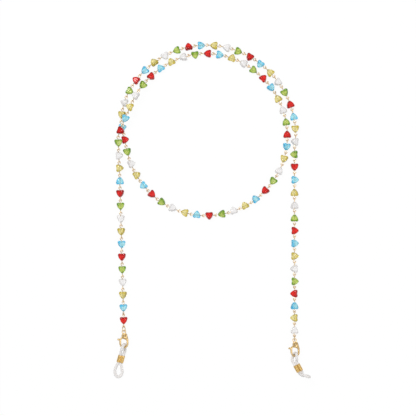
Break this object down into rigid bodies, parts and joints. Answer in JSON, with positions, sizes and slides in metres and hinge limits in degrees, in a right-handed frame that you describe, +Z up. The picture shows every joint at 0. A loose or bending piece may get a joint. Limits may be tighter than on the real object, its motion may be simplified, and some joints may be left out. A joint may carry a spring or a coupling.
{
  "type": "eyeglasses chain strap",
  "caption": "Flexible strap of glass heart beads on hooked gold wire links, with a lobster clasp and a soft silicone temple loop with a sliding sleeve at each end.",
  "frame": {"origin": "middle of the laid-out strap, on the surface that it lies on", "axes": "+Y from the two ends towards the round, +X from the left tail to the right tail, +Z up from the surface"},
  "size_m": [0.1178, 0.2016, 0.0095],
  "materials": {
    "bead_glass": "clear and coloured glass beads: red, sky blue, yellow, clear and green in turn",
    "wire_gold": "pale gold plated wire",
    "clasp_gold": "polished gold plate",
    "spring_steel": "bare spring steel",
    "sleeve_gold": "satin gold plate",
    "silicone": "translucent milky silicone"
  },
  "bodies": {
    "section_01": {"beads_01": "bead_glass", "eye_links_01": "wire_gold"},
    "section_02": {"beads_02": "bead_glass", "eye_links_02": "wire_gold"},
    "section_03": {"beads_03": "bead_glass", "eye_links_03": "wire_gold"},
    "section_04": {"beads_04": "bead_glass", "eye_links_04": "wire_gold"},
    "section_05": {"beads_05": "bead_glass", "eye_links_05": "wire_gold"},
    "section_06": {"beads_06": "bead_glass", "eye_links_06": "wire_gold"},
    "section_07": {"beads_07": "bead_glass", "eye_links_07": "wire_gold"},
    "section_08": {"beads_08": "bead_glass", "eye_links_08": "wire_gold"},
    "section_09": {"beads_09": "bead_glass", "eye_links_09": "wire_gold"},
    "section_10": {"beads_10": "bead_glass", "eye_links_10": "wire_gold"},
    "section_11": {"beads_11": "bead_glass", "eye_links_11": "wire_gold"},
    "section_12": {"beads_12": "bead_glass", "eye_links_12": "wire_gold"},
    "section_13": {"beads_13": "bead_glass", "eye_links_13": "wire_gold"},
    "section_14": {"beads_14": "bead_glass", "eye_links_14": "wire_gold"},
    "section_15": {"beads_15": "bead_glass", "eye_links_15": "wire_gold"},
    "section_16": {"beads_16": "bead_glass", "eye_links_16": "wire_gold"},
    "section_17": {"beads_17": "bead_glass", "eye_links_17": "wire_gold"},
    "section_18": {"beads_18": "bead_glass", "eye_links_18": "wire_gold"},
    "section_19": {"beads_19": "bead_glass", "eye_links_19": "wire_gold"},
    "ring_left": {"jump_ring_left": "wire_gold"},
    "clasp_left": {"clasp_body_left": "clasp_gold", "clasp_rivet_left": "clasp_gold", "clasp_spring_left": "spring_steel"},
    "lever_left": {"clasp_lever_left": "clasp_gold"},
    "loop_left": {"temple_loop_left": "silicone"},
    "sleeve_left": {"loop_sleeve_left": "sleeve_gold"},
    "ring_right": {"jump_ring_right": "wire_gold"},
    "clasp_right": {"clasp_body_right": "clasp_gold", "clasp_rivet_right": "clasp_gold", "clasp_spring_right": "spring_steel"},
    "lever_right": {"clasp_lever_right": "clasp_gold"},
    "loop_right": {"temple_loop_right": "silicone"},
    "sleeve_right": {"loop_sleeve_right": "sleeve_gold"}
  },
  "joints": [
    {"name": "swing_01_02", "type": "hinge", "parent": "section_02", "child": "section_01", "pos_m": [-0.05369, -0.03229, 0.00213], "axis": [0, 0, 1], "range_deg": [-45, 45]},
    {"name": "swing_02_03", "type": "hinge", "parent": "section_03", "child": "section_02", "pos_m": [-0.05475, 0.00569, 0.00213], "axis": [0, 0, -1], "range_deg": [-45, 45]},
    {"name": "lift_03_04", "type": "hinge", "parent": "section_04", "child": "section_03", "pos_m": [-0.05582, 0.04394, 0.00596], "axis": [-0.9859, 0.1676, 0], "range_deg": [0, 45]},
    {"name": "lift_04_05", "type": "hinge", "parent": "section_05", "child": "section_04", "pos_m": [-0.03879, 0.07746, 0.00349], "axis": [0.7469, -0.6649, 0], "range_deg": [-40, 0]},
    {"name": "lift_05_06", "type": "hinge", "parent": "section_06", "child": "section_05", "pos_m": [-0.00602, 0.09355, 0.00213], "axis": [-0.0657, 0.9978, 0], "range_deg": [0, 40]},
    {"name": "lift_06_07", "type": "hinge", "parent": "section_07", "child": "section_06", "pos_m": [0.02825, 0.08103, 0.00213], "axis": [-0.6574, -0.7535, 0], "range_deg": [-40, 0]},
    {"name": "lift_07_08", "type": "hinge", "parent": "section_08", "child": "section_07", "pos_m": [0.04503, 0.04856, 0.00213], "axis": [0.9947, 0.1025, 0], "range_deg": [0, 40]},
    {"name": "lift_08_09", "type": "hinge", "parent": "section_09", "child": "section_08", "pos_m": [0.03411, 0.01378, 0.00213], "axis": [0.7687, -0.6396, 0], "range_deg": [-40, 0]},
    {"name": "lift_09_10", "type": "hinge", "parent": "section_10", "child": "section_09", "pos_m": [0.00178, -0.00325, 0.00213], "axis": [-0.1092, 0.994, 0], "range_deg": [0, 40]},
    {"name": "lift_10_11", "type": "hinge", "parent": "section_10", "child": "section_11", "pos_m": [-0.03331, 0.00686, 0.00213], "axis": [0.6189, 0.7854, 0], "range_deg": [-40, 0]},
    {"name": "lift_11_12", "type": "hinge", "parent": "section_11", "child": "section_12", "pos_m": [-0.05153, 0.03862, 0.00213], "axis": [-0.9784, -0.2068, 0], "range_deg": [0, 40]},
    {"name": "lift_12_13", "type": "hinge", "parent": "section_12", "child": "section_13", "pos_m": [-0.04736, 0.07472, 0.00213], "axis": [-0.8424, 0.5388, 0], "range_deg": [-30, 30]},
    {"name": "lift_13_14", "type": "hinge", "parent": "section_13", "child": "section_14", "pos_m": [-0.01733, 0.09672, 0.00213], "axis": [0.2729, -0.962, 0], "range_deg": [-30, 30]},
    {"name": "lift_14_15", "type": "hinge", "parent": "section_14", "child": "section_15", "pos_m": [0.01971, 0.09324, 0.00213], "axis": [0.4338, 0.901, 0], "range_deg": [-30, 30]},
    {"name": "lift_15_16", "type": "hinge", "parent": "section_15", "child": "section_16", "pos_m": [0.04559, 0.06642, 0.00213], "axis": [-0.9108, -0.4128, 0], "range_deg": [-30, 30]},
    {"name": "lift_16_17", "type": "hinge", "parent": "section_16", "child": "section_17", "pos_m": [0.04942, 0.02908, 0.00213], "axis": [1, 0, 0], "range_deg": [-30, 30]},
    {"name": "swing_17_18", "type": "hinge", "parent": "section_17", "child": "section_18", "pos_m": [0.04942, -0.00833, 0.00213], "axis": [0, 0, 1], "range_deg": [-45, 45]},
    {"name": "swing_18_19", "type": "hinge", "parent": "section_18", "child": "section_19", "pos_m": [0.04942, -0.04598, 0.00213], "axis": [0, 0, -1], "range_deg": [-45, 45]},
    {"name": "ring_left", "type": "hinge", "parent": "section_01", "child": "ring_left", "pos_m": [-0.05263, -0.07028, 0.00213], "axis": [0.7068, 0.0197, 0.7071], "range_deg": [-15, 60]},
    {"name": "clasp_left", "type": "hinge", "parent": "ring_left", "child": "clasp_left", "pos_m": [-0.05257, -0.07249, 0.0032], "axis": [-0.478, 0.2971, 0.8266], "range_deg": [-60, 12]},
    {"name": "lever_left", "type": "hinge", "parent": "clasp_left", "child": "lever_left", "pos_m": [-0.05219, -0.07526, 0.00291], "axis": [0, 0, 1], "range_deg": [0, 8], "stiffness_Nm_per_rad": 0.002, "springref_deg": -11.46},
    {"name": "loop_left", "type": "hinge", "parent": "clasp_left", "child": "loop_left", "pos_m": [-0.0525, -0.08214, 0.00291], "axis": [0.9996, 0.0279, 0], "range_deg": [-50, 15]},
    {"name": "sleeve_left", "type": "slide", "parent": "loop_left", "child": "sleeve_left", "axis": [-0.2817, -0.957, -0.0698], "range_m": [-0.0008, 0.0006]},
    {"name": "ring_right", "type": "hinge", "parent": "section_19", "child": "ring_right", "pos_m": [0.04942, -0.07593, 0.00213], "axis": [1, 0, 0], "range_deg": [-10, 60]},
    {"name": "clasp_right", "type": "hinge", "parent": "ring_right", "child": "clasp_right", "pos_m": [0.04942, -0.07789, 0.00337], "axis": [0, 0.4062, 0.9138], "range_deg": [-60, 50]},
    {"name": "lever_right", "type": "hinge", "parent": "clasp_right", "child": "lever_right", "pos_m": [0.04989, -0.08038, 0.00291], "axis": [0, 0, 1], "range_deg": [0, 6], "stiffness_Nm_per_rad": 0.002, "springref_deg": -11.46},
    {"name": "loop_right", "type": "hinge", "parent": "clasp_right", "child": "loop_right", "pos_m": [0.04987, -0.08728, 0.00291], "axis": [-0.9976, -0.0698, 0], "range_deg": [-40, 12]},
    {"name": "sleeve_right", "type": "slide", "parent": "loop_right", "child": "sleeve_right", "axis": [0.4848, -0.8746, 0], "range_m": [-0.0012, 0]}
  ]
}
